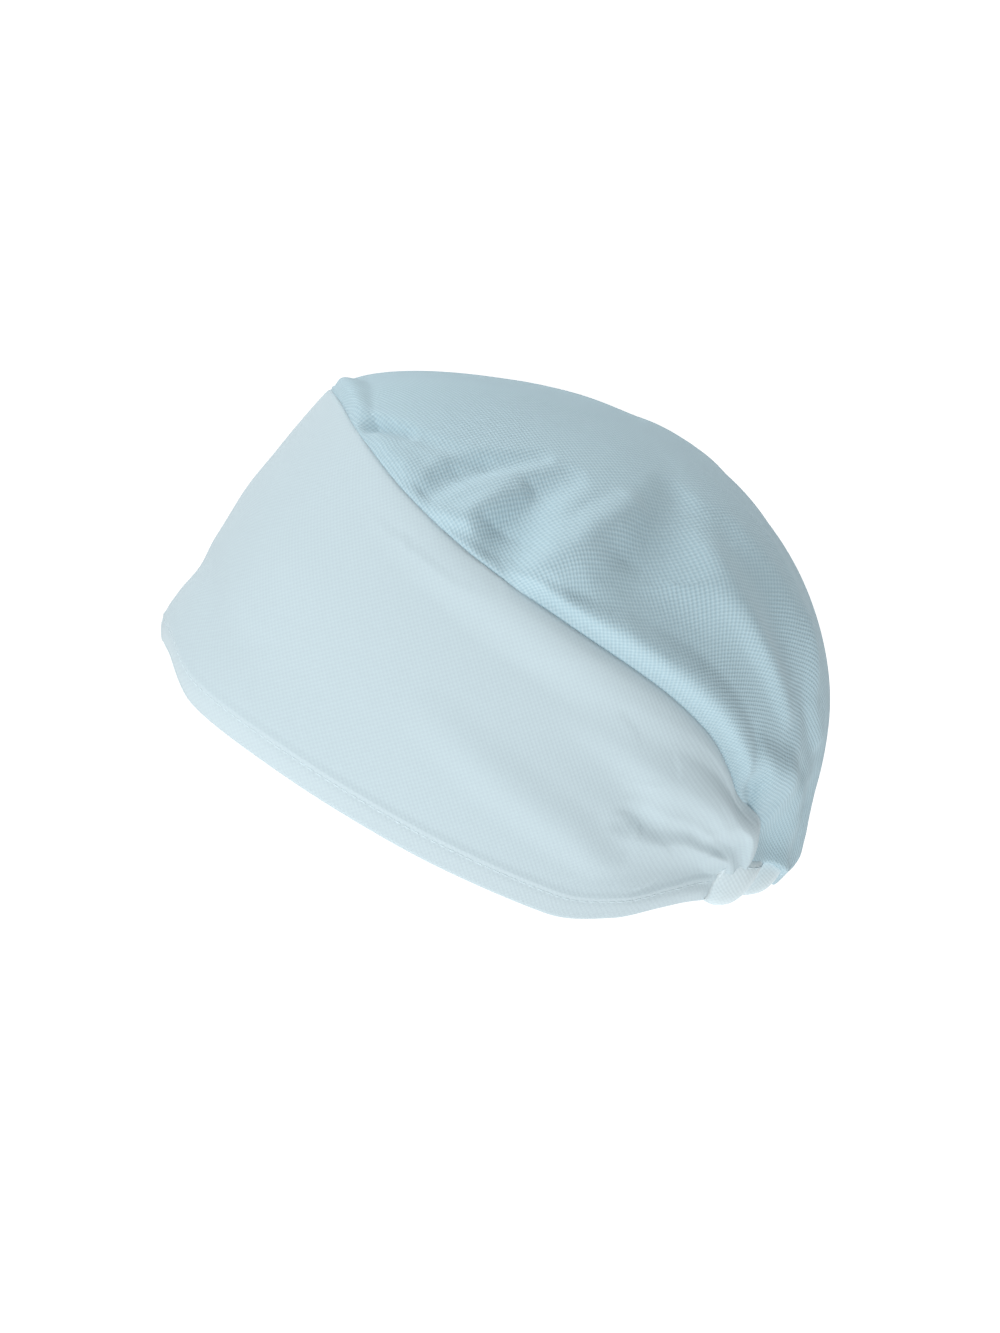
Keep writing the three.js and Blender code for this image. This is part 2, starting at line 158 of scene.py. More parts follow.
def section(rows, column, bearing):
    """A smooth curve through one column of a table of sections, level at both ends."""
    xs = np.array([row["bearing"] for row in rows], float)
    ys = np.array([row[column] for row in rows], float)
    slopes = np.diff(ys) / np.diff(xs)
    tangents = np.zeros(len(xs))
    for k in range(1, len(xs) - 1):
        before, after = slopes[k - 1], slopes[k]
        tangents[k] = 2 * before * after / (before + after) if before * after > 0 else 0
    at = np.abs(wrapped(bearing))
    i = np.clip(np.searchsorted(xs, at, side="right") - 1, 0, len(xs) - 2)
    span = xs[i + 1] - xs[i]
    t = (at - xs[i]) / span
    s = 1 - t
    return (
        ys[i] * (1 + 2 * t) * s * s
        + tangents[i] * span * t * s * s
        + ys[i + 1] * (1 + 2 * s) * t * t
        - tangents[i + 1] * span * s * t * t
    )


def on_loop(bearing, reach, z):
    a = np.radians(bearing)
    return np.stack([HALF_BREADTH * reach * np.sin(a), -HALF_LENGTH * reach * np.cos(a), z + 0 * a], -1)


def outward(bearing):
    a = np.radians(bearing)
    n = np.stack([np.sin(a) / HALF_BREADTH, -np.cos(a) / HALF_LENGTH, 0 * a], -1)
    return n / np.linalg.norm(n, axis=-1, keepdims=True)


def seam_point(bearing):
    reach = section(BAND_SECTIONS, "reach", bearing)
    return on_loop(bearing, reach, section(BAND_SECTIONS, "seam", bearing))


CASING_HEIGHT = 12.5
HEM_CURL = dict(height=13, depth=5)  # the lower edge turns in at the forehead
HEM_FLARE = dict(height=32, depth=3.6, bearing=70)  # after standing off above that
RIGHT_LIFT = dict(high=2.2, full=14, keep=24, gone=60)  # the hem stands higher right of the middle
LOBE = dict(start=120, low=0.2, out=1.5, power=0.6, along=0.15)  # the band's end swells outwards
HOOK = dict(start=125, end=135.5, peak=1.7, around=6, power=4)  # and its upper corner reaches on
DROP = dict(start=130, end=135.5)  # where the seam comes down to the casing's upper edge
CORNER_ABOVE = 2  # how far the band's corner stands above that edge


def seam_drop(bearing):
    """How far the seam lies below the seam column, towards and along the casing."""
    whole = section(BAND_SECTIONS, "seam", bearing) - section(BAND_SECTIONS, "hem", bearing) - CASING_HEIGHT
    share = (np.abs(wrapped(bearing)) - DROP["start"]) / (DROP["end"] - DROP["start"])
    return whole * smooth(share)


def band_height(bearing):
    whole = section(BAND_SECTIONS, "seam", bearing) - section(BAND_SECTIONS, "hem", bearing)
    above = CORNER_ABOVE * smooth((np.abs(bearing) - DROP["start"]) / (BAND_END - DROP["start"]))
    return whole - seam_drop(bearing) + above


def band_point(bearing, rise):
    tall = band_height(bearing)
    belly = section(BAND_SECTIONS, "swell", bearing) * 4 * rise * (1 - rise)
    near = smooth(1 - rise * tall / HEM_FLARE["height"])
    edge = np.clip(1 - rise * tall / HEM_CURL["height"], 0, 1) ** 2
    flare = HEM_FLARE["depth"] * near - HEM_CURL["depth"] * edge
    belly = belly + flare * (1 - smooth(np.abs(bearing) / HEM_FLARE["bearing"]))
    lobe = np.clip((rise - LOBE["low"]) / (1 - LOBE["low"]), 0, 1)
    lobe = np.sin(lobe ** LOBE["power"] * math.pi)
    lobe = lobe * smooth((np.abs(bearing) - LOBE["start"]) / (BAND_END - LOBE["start"]))
    hook = np.clip((np.abs(bearing) - HOOK["start"]) / (HOOK["end"] - HOOK["start"]), 0, 1)
    hook = np.sin(hook ** HOOK["peak"] * math.pi) * rise ** HOOK["power"]
    belly = belly + LOBE["out"] * (lobe + hook)
    place = bearing + np.sign(bearing) * HOOK["around"] * (hook + LOBE["along"] * lobe)
    right = -wrapped(bearing)
    lifted = 1 - smooth((right - RIGHT_LIFT["keep"]) / (RIGHT_LIFT["gone"] - RIGHT_LIFT["keep"]))
    lifted = RIGHT_LIFT["high"] * smooth(right / RIGHT_LIFT["full"]) * lifted
    z = section(BAND_SECTIONS, "hem", bearing) + rise * tall + lifted * (1 - rise) ** 2
    reach = 1 + (section(BAND_SECTIONS, "reach", bearing) - 1) * rise
    return on_loop(place, reach, z) + outward(place) * belly[..., None]


def fold_height(folds, bearing, rise, climb):
    """How far a table's folds lift the cloth out of its plain surface."""
    at = wrapped(bearing)
    side = np.where(at >= 0, at, -at - RIGHT_SIDE_SHIFT)
    total = np.zeros(np.shape(side))
    for fold in folds:
        path = np.array(fold["path"], float)
        around = AROUND * (1 - path[:, 1].mean() ** 2)
        nearest = np.full(np.shape(side), np.inf)
        height = np.zeros(np.shape(side))
        for k in range(len(path) - 1):
            run = (path[k + 1] - path[k]) * [around, climb]
            here = np.stack([(side - path[k, 0]) * around, (rise - path[k, 1]) * climb], -1)
            share = np.clip(here @ run / (run @ run), 0, 1)
            wide = fold["wide"][k] * (1 - share) + fold["wide"][k + 1] * share
            high = fold["high"][k] * (1 - share) + fold["high"][k + 1] * share
            away = np.linalg.norm(here - share[..., None] * run, axis=-1) / wide
            closer = away < nearest
            nearest = np.where(closer, away, nearest)
            height = np.where(closer, high, height)
        total += height * np.cos(np.clip(nearest, 0, 1) * math.pi / 2) ** 2
    return total


SLOPE_STEP = dict(around=0.5, rise=0.01, highest=0.995)  # a sheet may end in a point at the top


def across(sheet, bearing, rise):
    """The direction out of a sheet at each place."""
    aside = SLOPE_STEP["around"]
    low = np.clip(rise - SLOPE_STEP["rise"], 0, 1)
    high = np.clip(rise + SLOPE_STEP["rise"], 0, SLOPE_STEP["highest"])
    round_it = sheet(bearing + aside, rise) - sheet(bearing - aside, rise)
    climb = sheet(bearing, high) - sheet(bearing, low)
    n = np.cross(round_it, climb)
    return n / np.maximum(np.linalg.norm(n, axis=-1, keepdims=True), 1e-9)


# The cap is shaped level, then tilted and set with its head seat at the origin, as the solids are.
def worn(points, seat=np.zeros(3)):
    p = math.radians(WORN_TILT)
    x, y, z = points[..., 0], points[..., 1], points[..., 2]
    turned = np.stack([x, y * math.cos(p) + z * math.sin(p), -y * math.sin(p) + z * math.cos(p)], -1)
    return (turned - seat) * MM


def grid_faces(columns, rows, looped):
    """Quads over a grid of points that is stored column by column."""
    last = columns if looped else columns - 1
    i, j = np.meshgrid(np.arange(last), np.arange(rows - 1), indexing="ij")
    a = i * rows + j
    b = (i + 1) % columns * rows + j
    return np.stack([a, b, b + 1, a + 1], -1).reshape(-1, 4)


def cloth_object(name, points, faces, flat_map, material):
    """A smooth cloth mesh. flat_map gives each point's place on the flat cloth, in metres."""
    mesh = bpy.data.meshes.new(name)
    mesh.from_pydata(points.tolist(), [], [list(map(int, f)) for f in faces])
    mesh.validate()
    uv = mesh.uv_layers.new(name="cloth")
    corners = np.zeros(len(mesh.loops), int)
    mesh.loops.foreach_get("vertex_index", corners)
    uv.data.foreach_set("uv", flat_map[corners].astype(np.float32).ravel())
    mesh.shade_smooth()
    mesh.materials.append(material)
    obj = bpy.data.objects.new(name, mesh)
    bpy.context.scene.collection.objects.link(obj)
    return obj


def srgb(code):
    """A hex colour as linear values."""
    parts = [int(code[k : k + 2], 16) / 255 for k in (1, 3, 5)]
    return [c / 12.92 if c <= 0.04045 else ((c + 0.055) / 1.055) ** 2.4 for c in parts]


def add_node(tree, kind, settings=(), values=(), links=()):
    """A node with its settings, input values and incoming links."""
    node = tree.nodes.new(kind)
    for key, value in dict(settings).items():
        setattr(node, key, value)
    for key, value in dict(values).items():
        node.inputs[key].default_value = value
    for key, source in dict(links).items():
        tree.links.new(source, node.inputs[key])
    return node


WEAVE_PITCH = 1.2  # from one of the waffle's cells to the next


def pique(name, base, groove_shade, depth, turn, hem=0.0):
    """Polyester and cotton waffle piqué: small cells in rows, matt, with a faint bloom of fibres.

    The first two colours are the cells' and the grooves'; the grooves' darker colour is painted
    shade in the hollows of the weave. depth is their relief in millimetres, turn the angle in
    degrees at which the piece is cut across the rows, and hem the share by which the doubled cloth
    below the stitches is paler.
    """
    material = bpy.data.materials.new(name)
    material.use_nodes = True
    tree = material.node_tree
    tree.nodes.clear()
    uv = add_node(tree, "ShaderNodeUVMap", dict(uv_map="cloth"))
    cells = add_node(
        tree,
        "ShaderNodeMapping",
        values={
            "Rotation": [0, 0, math.radians(turn)],
            "Scale": [2 * math.pi / (WEAVE_PITCH * MM)] * 2 + [1],
        },
        links={"Vector": uv.outputs["UV"]},
    )
    split = add_node(tree, "ShaderNodeSeparateXYZ", links={0: cells.outputs[0]})
    columns = add_node(tree, "ShaderNodeMath", dict(operation="COSINE"), links={0: split.outputs["X"]})
    rows = add_node(tree, "ShaderNodeMath", dict(operation="COSINE"), links={0: split.outputs["Y"]})
    waffle = add_node(
        tree, "ShaderNodeMath", dict(operation="ADD"), links={0: columns.outputs[0], 1: rows.outputs[0]}
    )
    raised = add_node(
        tree,
        "ShaderNodeMapRange",
        values={"From Min": -2.0, "From Max": 2.0},
        links={"Value": waffle.outputs[0]},
    )
    # the grooves take the darker colour: painted shade in the hollows of the weave
    tone = add_node(
        tree,
        "ShaderNodeMix",
        dict(data_type="RGBA"),
        values={6: srgb(groove_shade) + [1], 7: srgb(base) + [1]},
        links={0: raised.outputs[0]},
    )
    flat_place = add_node(tree, "ShaderNodeSeparateXYZ", links={0: uv.outputs["UV"]})
    doubled = add_node(
        tree,
        "ShaderNodeMapRange",
        values={
            "From Min": (HEM_HEIGHT + HEM_LINE) * MM,
            "From Max": (HEM_HEIGHT - HEM_LINE) * MM,
            "To Max": hem,
        },
        links={"Value": flat_place.outputs["Y"]},
    )
    paler = add_node(
        tree,
        "ShaderNodeMix",
        dict(data_type="RGBA"),
        values={7: [1, 1, 1, 1]},
        links={0: doubled.outputs[0], 6: tone.outputs[2]},
    )
    bump = add_node(
        tree,
        "ShaderNodeBump",
        values={"Strength": 1.0, "Distance": depth * MM},
        links={"Height": raised.outputs[0]},
    )
    shader = add_node(
        tree,
        "ShaderNodeBsdfPrincipled",
        values={
            "Roughness": 0.88,
            "Specular IOR Level": 0.25,
            "Sheen Weight": 0.15,
            "Sheen Roughness": 0.6,
        },
        links={"Base Color": paler.outputs[2], "Normal": bump.outputs[0]},
    )
    add_node(tree, "ShaderNodeOutputMaterial", links={0: shader.outputs[0]})
    return material


CROWN_SECTIONS = [
    # leave is the slope at the seam in degrees; up and over say how far that slope and the level
    # slope at the top are kept, as shares of the distance between them
    dict(bearing=0, leave=57, up=0.2, over=0.42),
    dict(bearing=20, leave=57, up=0.2, over=0.42),
    dict(bearing=40, leave=61, up=0.24, over=0.43),
    dict(bearing=60, leave=69, up=0.29, over=0.46),
    dict(bearing=80, leave=76, up=0.33, over=0.5),
    dict(bearing=100, leave=81, up=0.35, over=0.53),
    dict(bearing=113, leave=86, up=0.4, over=0.59),
    dict(bearing=122, leave=88, up=0.42, over=0.62),
    dict(bearing=128, leave=89, up=0.42, over=0.63),
    dict(bearing=135, leave=90, up=0.4, over=0.63),
    dict(bearing=150, leave=90, up=0.3, over=0.605),
    dict(bearing=180, leave=88, up=0.26, over=0.605),
]
CROWN_TOP = np.array([0, 2, 119.7])
UP = np.array([0, 0, 1])


def crown_point(bearing, rise):
    edge = seam_point(bearing)
    inward = (CROWN_TOP - edge) * [1, 1, 0]
    inward /= np.linalg.norm(inward, axis=-1, keepdims=True)
    far = np.linalg.norm(CROWN_TOP - edge, axis=-1)
    slope = np.radians(section(CROWN_SECTIONS, "leave", bearing))[..., None]
    leaving = inward * np.cos(slope) + UP * np.sin(slope)
    kept = (far * section(CROWN_SECTIONS, "up", bearing))[..., None]
    level = (far * section(CROWN_SECTIONS, "over", bearing))[..., None]
    r = rise[..., None]
    return (
        edge * (1 - r) ** 3
        + (edge + leaving * kept) * 3 * r * (1 - r) ** 2
        + (CROWN_TOP - inward * level) * 3 * r * r * (1 - r)
        + CROWN_TOP * r**3
    )


SEAT_RISE = 0.33  # where the top of the head touches the crown, on its front meridian
SEAT_DEPTH = 0.9  # from the middle of the crown's wall to the head
front = (np.array([0.0]), np.array([SEAT_RISE]))
seat = worn(crown_point(*front) - across(crown_point, *front) * SEAT_DEPTH) / MM

BAND_COLUMNS = dict(step=0.7, fine_from=100, fine=72)  # degrees, and columns in the finer part
HEM_LIFTS = 16  # rows of points on the hem strip
HEM_CROWDING = 1.3  # power by which those rows crowd towards the folded edge
BAND_LIFTS = 66  # rows of points from there to the seam
STITCH_HEIGHT = 7  # from the folded edge to the row of stitches
STITCH_SINK = 0.25  # how far the stitches draw the cloth in
STITCH_SINK_WIDTH = 0.7  # half the width of the groove that this makes


def bearings_to(end, spacing):
    """Bearings from the forehead to the end, closer together from where they are to be fine."""
    coarse = np.arange(0, spacing["fine_from"], spacing["step"])
    return np.concatenate([coarse, np.linspace(spacing["fine_from"], end, spacing["fine"])])


def lengths(points, axis):
    """Distances along a grid of points in one direction, starting from zero."""
    steps = np.linalg.norm(np.diff(points, axis=axis), axis=-1)
    zero = np.zeros_like(np.take(steps, [0], axis=axis))
    return np.cumsum(np.concatenate([zero, steps], axis=axis), axis=axis)


side = bearings_to(BAND_END, BAND_COLUMNS)
band_bearings = np.concatenate([-side[:0:-1], side])
band_tall = band_height(band_bearings)
hem_share = (HEM_HEIGHT / band_tall)[:, None]
step_share = ((HEM_HEIGHT + HEM_STEP / HEM_LIFTS) / band_tall)[:, None]
low = hem_share * np.linspace(0, 1, HEM_LIFTS) ** HEM_CROWDING
high = step_share + (1 - step_share) * np.linspace(0, 1, BAND_LIFTS)
band_rise = np.concatenate([low, high], 1)
band_around = np.repeat(band_bearings[:, None], band_rise.shape[1], 1)
band_up = band_rise * band_tall[:, None]


def band_surface(bearing, rise):
    """The middle of the band's cloth with its folds, and the direction out of it."""
    tall = band_height(bearing)
    out = across(band_point, bearing, rise)
    lift = fold_height(BAND_FOLDS, bearing, rise, BAND_CLIMB)
    ending = smooth((rise - FOLD_ENDS["fade_from"]) / (1 - FOLD_ENDS["fade_from"]))
    lift *= smooth(rise / FOLD_ENDS["full_by"]) * (1 - FOLD_ENDS["lost"] * ending)
    lift -= SEAM_DIP * (1 - smooth((1 - rise) * tall / SEAM_ROLL)) ** 2
    lift -= STITCH_SINK * np.exp(-(((rise * tall - STITCH_HEIGHT) / STITCH_SINK_WIDTH) ** 2))
    return band_point(bearing, rise) + out * lift[..., None], out


band_middle, out_of_band = band_surface(band_around, band_rise)
turned = 1 - smooth((band_up - HEM_HEIGHT) / HEM_STEP)
half = CLOTH / 2 + HEM_EXTRA * turned
half = half * np.sqrt(np.clip(1 - (1 - np.clip(band_up / HEM_ROUND, 0, 1)) ** 2, 0, 1))
band_outer = band_middle + out_of_band * half[..., None]
band_inner = band_middle - out_of_band * half[..., None]
columns, rows = band_rise.shape
# each column goes up the outer face and down the inner one
total = 2 * rows
band_loop = np.concatenate([band_outer, band_inner[:, ::-1]], 1)
faces = grid_faces(columns, total, looped=False)
around = lengths(band_middle[:, rows // 2 : rows // 2 + 1], 0)
up = lengths(band_middle, 1)
flat = np.stack([np.repeat(around, rows, 1), up], -1)
band_flat = np.concatenate([flat, flat[:, ::-1]], 1) * MM
foot = np.arange(columns - 1) * total
bottom = np.stack([foot + total - 1, foot + 2 * total - 1, foot + total, foot], -1)
ends = []
for column, flipped in ((0, False), (columns - 1, True)):
    for j in range(rows - 1):
        a = column * total + j
        b = (column + 1) * total - 1 - j
        quad = [a, a + 1, b - 1, b]
        ends.append(quad[::-1] if flipped else quad)
band_faces = list(faces) + list(bottom) + ends
band_cloth = pique(
    "polyester cotton pique, band", base="#BFD1D7", groove_shade="#B9CAD2", depth=0.05, turn=45, hem=0.04
)
band = cloth_object(
    "band_cloth",
    worn(band_loop, seat).reshape(-1, 3),
    band_faces,
    band_flat.reshape(-1, 2),
    band_cloth,
)
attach(band, "root")
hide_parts("front_band")


# ---- Hem stitches -------------------------------------------------------------------------------
# A row of plain machine stitches in matching polyester thread, which holds the band's turned edge.
# Each stitch is a slim spindle, laid along the row at an even pitch.

STITCH = dict(pitch=3.1, length=2.7, thread=0.42)
ROW_POINTS = 600  # along the line that the stitches follow


def group_input(tree, name, kind):
    return tree.interface.new_socket(name, in_out="INPUT", socket_type=kind).identifier


stitch_tree = bpy.data.node_groups.new("stitch row", "GeometryNodeTree")
group_input(stitch_tree, "Path", "NodeSocketGeometry")
pitch_socket = group_input(stitch_tree, "Pitch", "NodeSocketFloat")
length_socket = group_input(stitch_tree, "Stitch length", "NodeSocketFloat")
thread_socket = group_input(stitch_tree, "Thread width", "NodeSocketFloat")
material_socket = group_input(stitch_tree, "Thread", "NodeSocketMaterial")
stitch_tree.interface.new_socket("Stitches", in_out="OUTPUT", socket_type="NodeSocketGeometry")
given = add_node(stitch_tree, "NodeGroupInput")
places = add_node(
    stitch_tree,
    "GeometryNodeResampleCurve",
    dict(mode="LENGTH"),
    links={"Curve": given.outputs["Path"], "Length": given.outputs["Pitch"]},
)
spindle = add_node(
    stitch_tree, "GeometryNodeMeshUVSphere", values={"Segments": 8, "Rings": 6, "Radius": 0.5}
)
spindle_size = add_node(
    stitch_tree,
    "ShaderNodeCombineXYZ",
    links={
        "X": given.outputs["Stitch length"],
        "Y": given.outputs["Thread width"],
        "Z": given.outputs["Thread width"],
    },
)
tangent = add_node(stitch_tree, "GeometryNodeInputTangent")
along = add_node(
    stitch_tree, "FunctionNodeAlignRotationToVector", dict(axis="X"), links={"Vector": tangent.outputs[0]}
)
stitches = add_node(
    stitch_tree,
    "GeometryNodeInstanceOnPoints",
    links={
        "Points": places.outputs[0],
        "Instance": spindle.outputs["Mesh"],
        "Rotation": along.outputs[0],
        "Scale": spindle_size.outputs[0],
    },
)
real = add_node(stitch_tree, "GeometryNodeRealizeInstances", links={0: stitches.outputs[0]})
sewn = add_node(
    stitch_tree,
    "GeometryNodeSetMaterial",
    links={"Geometry": real.outputs[0], "Material": given.outputs["Thread"]},
)
add_node(stitch_tree, "NodeGroupOutput", links={0: sewn.outputs[0]})


def stitch_row(name, points, material):
    """Stitches along a line of points in millimetres, as one mesh."""
    line = bpy.data.curves.new(name + " path", "CURVE")
    line.dimensions = "3D"
    spline = line.splines.new("POLY")
    spline.points.add(len(points) - 1)
    spline.points.foreach_set("co", np.c_[worn(points, seat), np.ones(len(points))].ravel())
    row = bpy.data.objects.new(name + " path", line)
    bpy.context.scene.collection.objects.link(row)
    sewing = row.modifiers.new("stitches", "NODES")
    sewing.node_group = stitch_tree
    sewing[pitch_socket] = STITCH["pitch"] * MM
    sewing[length_socket] = STITCH["length"] * MM
    sewing[thread_socket] = STITCH["thread"] * MM
    sewing[material_socket] = material
    evaluated = row.evaluated_get(bpy.context.evaluated_depsgraph_get())
    mesh = bpy.data.meshes.new_from_object(evaluated)
    bpy.data.objects.remove(row)
    mesh.shade_smooth()
    obj = bpy.data.objects.new(name, mesh)
    bpy.context.scene.collection.objects.link(obj)
    return obj


# Polyester sewing thread: smooth, a little shiny, the colour of the cloth.
thread = bpy.data.materials.new("polyester thread")
thread.use_nodes = True
tree = thread.node_tree
tree.nodes.clear()
shader = add_node(
    tree,
    "ShaderNodeBsdfPrincipled",
    values={"Base Color": srgb("#CBDCE2") + [1], "Roughness": 0.5, "Specular IOR Level": 0.4},
)
add_node(tree, "ShaderNodeOutputMaterial", links={0: shader.outputs[0]})

row_bearings = np.linspace(-BAND_END, BAND_END, ROW_POINTS)
row_middle, row_out = band_surface(row_bearings, STITCH_HEIGHT / band_height(row_bearings))
row_points = row_middle + row_out * (CLOTH / 2 + HEM_EXTRA)
hem_stitches = stitch_row("hem_stitches", row_points, thread)
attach(hem_stitches, "root")


# ---- Crown --------------------------------------------------------------------------------------
# One rounded panel of the same piqué, gathered by the elastic at the nape, so that it falls into
# loose folds from there to the sides. It is sewn to the band's upper edge and to the casing's.

CROWN_CLIMB = 135  # cloth from the seam to the top, for the folds' distances
HELD = dict(share=0.25, free_by=0.06)  # what the seam leaves of the folds, and where it lets go
TUCK = dict(down=4, inward=1.2, rows=4)  # the crown's edge inside the band, below the seam
PUCKERS = 9  # rolls that the elastic draws up round the whole nape
PUCKER_DEPTH = 1.3  # of the same rolls in the crown
PLEATS = dict(full_by=0.03, gone_by=0.3, spread=6)  # rises, and degrees past the band's end
LAP = 3.2  # degrees by which the first roll of the casing laps over the band's end
DROP_GONE = 0.15  # rise by which the crown has made up for the seam that comes down
# Past the band's end the crown's edge stands out over the casing's. The cloth above it puffs out,
# and further round it hangs down over the casing. out and down are lengths, peak and over are
# rises, lost is a share, and the others are degrees past the band's end.
CASING_MEET = dict(out=1.6, down=1.4, over=0.08, start=-1.5, grow=3)
BLOUSE = dict(out=3.8, down=3.8, peak=0.035, over=0.15, start=1, full=10, gone=24, lost=0.85)
DRAPE = dict(out=3.8, down=5.4, over=0.13, start=9, full=17, fade=20, gone=34)
BACK_HOLLOW = dict(deep=3.4, rise=0.54, tall=0.2, around=24)  # the cloth lies flatter at the back
CROWN_FOLDS = [
    dict(
        name="front roll",
        path=[(-22, 0.07), (0, 0.075), (9, 0.07)],
        wide=[12, 14, 10],
        high=[1.2, 2.5, 1.9],
    ),
    dict(
        name="front pocket",
        path=[(17, 0.03), (18, 0.1), (25, 0.18)],
        wide=[6, 8, 7],
        high=[-2, -3.5, -1.5],
    ),
    dict(
        name="front crease",
        path=[(20, 0.16), (30, 0.22), (44, 0.33)],
        wide=[7, 8, 7],
        high=[-0.6, -1.2, -0.5],
    ),
    dict(
        name="temple roll",
        path=[(27, 0.06), (34, 0.08), (38, 0.1)],
        wide=[11, 13, 10],
        high=[0.8, 1.3, 0.8],
    ),
    dict(
        name="temple valley",
        path=[(42, 0.07), (43, 0.23), (46, 0.34), (53, 0.49)],
        wide=[7, 10, 10, 8],
        high=[-1.8, -3.6, -2.8, -1],
    ),
    dict(
        name="temple ridge",
        path=[(48, 0.03), (52, 0.09), (57, 0.33)],
        wide=[7, 8, 8],
        high=[2, 2.6, 1.2],
    ),
    dict(
        name="ear valley",
        path=[(65, 0.03), (62, 0.07), (61, 0.16), (61, 0.37), (64, 0.475)],
        wide=[6, 12, 15, 14, 12],
        high=[-0.8, -3.2, -5.6, -4, -1.6],
    ),
    dict(
        name="ear ridge",
        path=[(69, 0.02), (72, 0.11), (74, 0.2), (78, 0.35), (84, 0.52)],
        wide=[8, 11, 13, 13, 12],
        high=[3, 4.8, 4.8, 4, 2],
    ),
    dict(
        name="seam crease",
        path=[(66, 0.012), (77, 0.018)],
        wide=[4, 4],
        high=[-0.8, -0.8],
    ),
    dict(
        name="seam roll",
        path=[(74, 0.05), (91, 0.08), (104, 0.08), (124, 0.06)],
        wide=[6, 12, 13, 9],
        high=[1.5, 3.3, 3.1, 2.8],
    ),
    dict(
        name="great valley",
        path=[
            (98, 0.64),
            (93, 0.46),
            (90, 0.34),
            (92, 0.28),
            (100, 0.25),
            (110, 0.235),
            (121, 0.22),
            (133, 0.225),
        ],
        wide=[19, 23, 25, 26, 26, 23, 18, 11],
        high=[-2.5, -5.2, -5.5, -4.3, -2.9, -2.3, -2, -1.2],
    ),
    dict(
        name="back ridge",
        path=[(106, 0.52), (111, 0.39), (120, 0.31), (131, 0.26)],
        wide=[10, 11, 10, 7],
        high=[0.3, 0.6, 1.1, 1],
    ),
    dict(
        name="back valley",
        path=[(114, 0.6), (127, 0.42), (139, 0.32), (149, 0.22)],
        wide=[18, 20, 16, 10],
        high=[-2.2, -3.4, -2.8, -1.2],
    ),
    dict(
        name="edge ridge",
        path=[(139, 0.52), (143, 0.33), (150, 0.26)],
        wide=[8, 7, 6],
        high=[1, 1.5, 1],
    ),
    dict(
        name="nape puff",
        path=[(128, 0.11), (136, 0.14), (144, 0.125)],
        wide=[7, 9, 7],
        high=[2.5, 3.2, 2.2],
    ),
    dict(
        name="nape pocket",
        path=[(129, 0.04), (140, 0.05), (148, 0.05), (158, 0.02)],
        wide=[5, 6, 6, 6],
        high=[-2, -2.5, -2, -1],
    ),
]


def pucker_phase(bearing):
    """Which part of a roll lies at each bearing; a whole roll is twice pi."""
    past = np.abs(wrapped(bearing)) - BAND_END + LAP
    return (past / (180 - BAND_END + LAP) * PUCKERS + 1) * math.pi


def crown_surface(bearing, rise):
    """The middle of the crown's cloth with its folds, and the direction out of it."""
    out = across(crown_point, bearing, rise)
    free = HELD["share"] + (1 - HELD["share"]) * smooth(rise / HELD["free_by"])
    past = np.abs(wrapped(bearing)) - BAND_END
    gathered = smooth(past / PLEATS["spread"]) * smooth(rise / PLEATS["full_by"])
    gathered = gathered * (1 - smooth(rise / PLEATS["gone_by"]))
    lift = fold_height(CROWN_FOLDS, bearing, rise, CROWN_CLIMB) * free
    lift += PUCKER_DEPTH * np.cos(pucker_phase(bearing)) * gathered
    meeting = 1 - smooth(rise / CASING_MEET["over"])
    lift += CASING_MEET["out"] * smooth((past - CASING_MEET["start"]) / CASING_MEET["grow"]) * meeting
    lift -= SEAM_DIP * (1 - smooth(rise * CROWN_CLIMB / SEAM_ROLL)) ** 2
    loose = smooth((past - BLOUSE["start"]) / (BLOUSE["full"] - BLOUSE["start"]))
    fading = smooth((past - BLOUSE["full"]) / (BLOUSE["gone"] - BLOUSE["full"]))
    loose = loose * (1 - BLOUSE["lost"] * fading)
    loose = loose * smooth(rise / BLOUSE["peak"])
    loose = loose * (1 - smooth((rise - BLOUSE["peak"]) / (BLOUSE["over"] - BLOUSE["peak"])))
    lift += BLOUSE["out"] * loose
    behind = (180 - np.abs(wrapped(bearing))) / BACK_HOLLOW["around"]
    level = (rise - BACK_HOLLOW["rise"]) / BACK_HOLLOW["tall"]
    lift -= BACK_HOLLOW["deep"] * np.exp(-(behind**2) - level**2)
    drape = smooth((past - DRAPE["start"]) / (DRAPE["full"] - DRAPE["start"]))
    drape = drape * (1 - smooth(rise / DRAPE["over"]))
    drape = drape * (1 - smooth((past - DRAPE["fade"]) / (DRAPE["gone"] - DRAPE["fade"])))
    lift += DRAPE["out"] * drape
    dropped = seam_drop(bearing) * (1 - smooth(rise / DROP_GONE))
    dropped += CASING_MEET["down"] * smooth(past / CASING_MEET["grow"]) * meeting
    dropped += BLOUSE["down"] * loose + DRAPE["down"] * drape
    return crown_point(bearing, rise) + out * lift[..., None] - UP * dropped[..., None], out


CROWN_COLUMNS = dict(step=1, fine_from=120, fine=130)  # columns of points, as on the band
CROWN_RINGS = 78  # from the seam to the top
RING_CROWDING = 1.25  # power by which the rings crowd towards the seam
side = bearings_to(180, CROWN_COLUMNS)
crown_bearings = np.concatenate([side, 360 - side[-2:0:-1]])
rise = (np.arange(CROWN_RINGS) / CROWN_RINGS) ** RING_CROWDING
columns = len(crown_bearings)
around, climb = np.meshgrid(crown_bearings, rise, indexing="ij")
middle, out_of_crown = crown_surface(around, climb)
share = np.linspace(1, 1 / TUCK["rows"], TUCK["rows"])[None, :, None]
tuck_out = outward(around[:, : TUCK["rows"]])
tucked = middle[:, :1] - UP * TUCK["down"] * share - tuck_out * TUCK["inward"] * share
middle = np.concatenate([tucked, middle], 1)
out_of_crown = np.concatenate([np.repeat(out_of_crown[:, :1], TUCK["rows"], 1), out_of_crown], 1)
crown_outer = middle + out_of_crown * CLOTH / 2
crown_inner = middle - out_of_crown * CLOTH / 2
